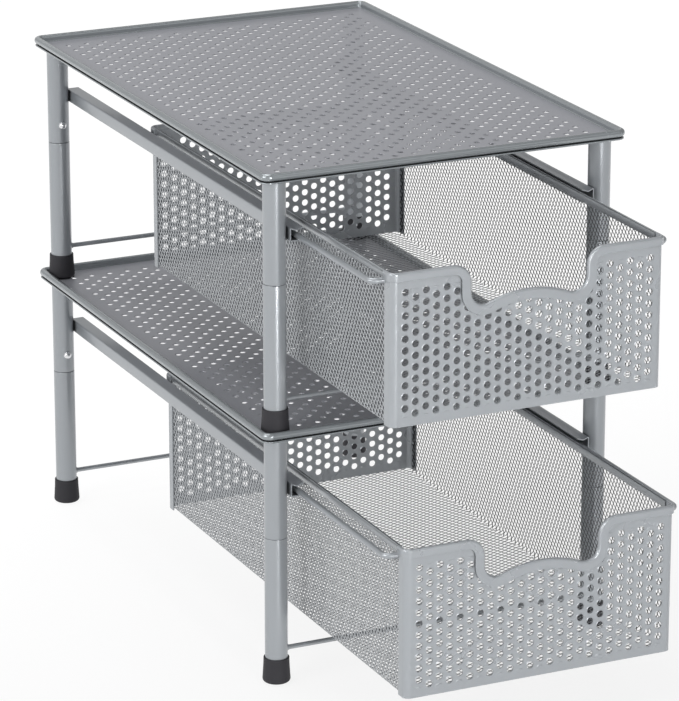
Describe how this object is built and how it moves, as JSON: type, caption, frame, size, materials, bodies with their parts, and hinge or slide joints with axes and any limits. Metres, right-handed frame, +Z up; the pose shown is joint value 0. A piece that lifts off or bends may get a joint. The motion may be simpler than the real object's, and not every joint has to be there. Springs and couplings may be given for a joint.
{
  "type": "basket drawer organizer",
  "caption": "Stacked perforated steel trays on tubular legs, each with a wire-mesh drawer that slides in side channels",
  "frame": {"origin": "On the floor, in the middle of the footprint with both drawers pulled out as in the picture", "axes": "+Z up, -Y to the front, where the drawers pull out, +X to the right seen from the front"},
  "size_m": [0.2606, 0.5372, 0.3485],
  "materials": {
    "tray_steel": "satin grey powder coat on perforated sheet",
    "frame_steel": "semi-gloss silver-grey paint on tube and wire",
    "panel_steel": "semi-gloss silver-grey paint on perforated sheet",
    "trim_steel": "semi-gloss silver-grey paint on folded strip",
    "mesh_steel": "semi-gloss silver-grey paint on expanded mesh",
    "foot_rubber": "matt black",
    "screw_metal": "bright plated"
  },
  "bodies": {
    "lower_frame": {"lower_tray_floor": "tray_steel", "lower_tray_rim": "tray_steel", "lower_front_left_post": "frame_steel", "lower_front_right_post": "frame_steel", "lower_back_left_post": "frame_steel", "lower_back_right_post": "frame_steel", "lower_front_left_leg": "frame_steel", "lower_front_right_leg": "frame_steel", "lower_back_left_leg": "frame_steel", "lower_back_right_leg": "frame_steel", "lower_front_crossbar": "frame_steel", "lower_back_crossbar": "frame_steel", "lower_left_channel": "frame_steel", "lower_right_channel": "frame_steel", "lower_feet": "foot_rubber", "lower_leg_screws": "screw_metal"},
    "lower_drawer": {"lower_drawer_front": "panel_steel", "lower_drawer_front_trim": "trim_steel", "lower_drawer_back": "panel_steel", "lower_drawer_back_trim": "trim_steel", "lower_drawer_left_mesh": "mesh_steel", "lower_drawer_right_mesh": "mesh_steel", "lower_drawer_floor_mesh": "mesh_steel", "lower_drawer_left_rim": "trim_steel", "lower_drawer_right_rim": "trim_steel", "lower_left_runner": "frame_steel", "lower_right_runner": "frame_steel"},
    "upper_frame": {"upper_tray_floor": "tray_steel", "upper_tray_rim": "tray_steel", "upper_front_left_post": "frame_steel", "upper_front_right_post": "frame_steel", "upper_back_left_post": "frame_steel", "upper_back_right_post": "frame_steel", "upper_front_left_leg": "frame_steel", "upper_front_right_leg": "frame_steel", "upper_back_left_leg": "frame_steel", "upper_back_right_leg": "frame_steel", "upper_front_crossbar": "frame_steel", "upper_back_crossbar": "frame_steel", "upper_left_channel": "frame_steel", "upper_right_channel": "frame_steel", "upper_feet": "foot_rubber", "upper_leg_screws": "screw_metal"},
    "upper_drawer": {"upper_drawer_front": "panel_steel", "upper_drawer_front_trim": "trim_steel", "upper_drawer_back": "panel_steel", "upper_drawer_back_trim": "trim_steel", "upper_drawer_left_mesh": "mesh_steel", "upper_drawer_right_mesh": "mesh_steel", "upper_drawer_floor_mesh": "mesh_steel", "upper_drawer_left_rim": "trim_steel", "upper_drawer_right_rim": "trim_steel", "upper_left_runner": "frame_steel", "upper_right_runner": "frame_steel"}
  },
  "joints": [
    {"name": "lower_drawer_slide", "type": "slide", "parent": "lower_frame", "child": "lower_drawer", "axis": [0, -1, 0], "range_m": [-0.144, 0.105]},
    {"name": "upper_unit_lift", "type": "slide", "parent": "lower_frame", "child": "upper_frame", "axis": [0, 0, 1], "range_m": [0, 0.12]},
    {"name": "upper_drawer_slide", "type": "slide", "parent": "upper_frame", "child": "upper_drawer", "axis": [0, -1, 0], "range_m": [-0.122, 0.127]}
  ]
}
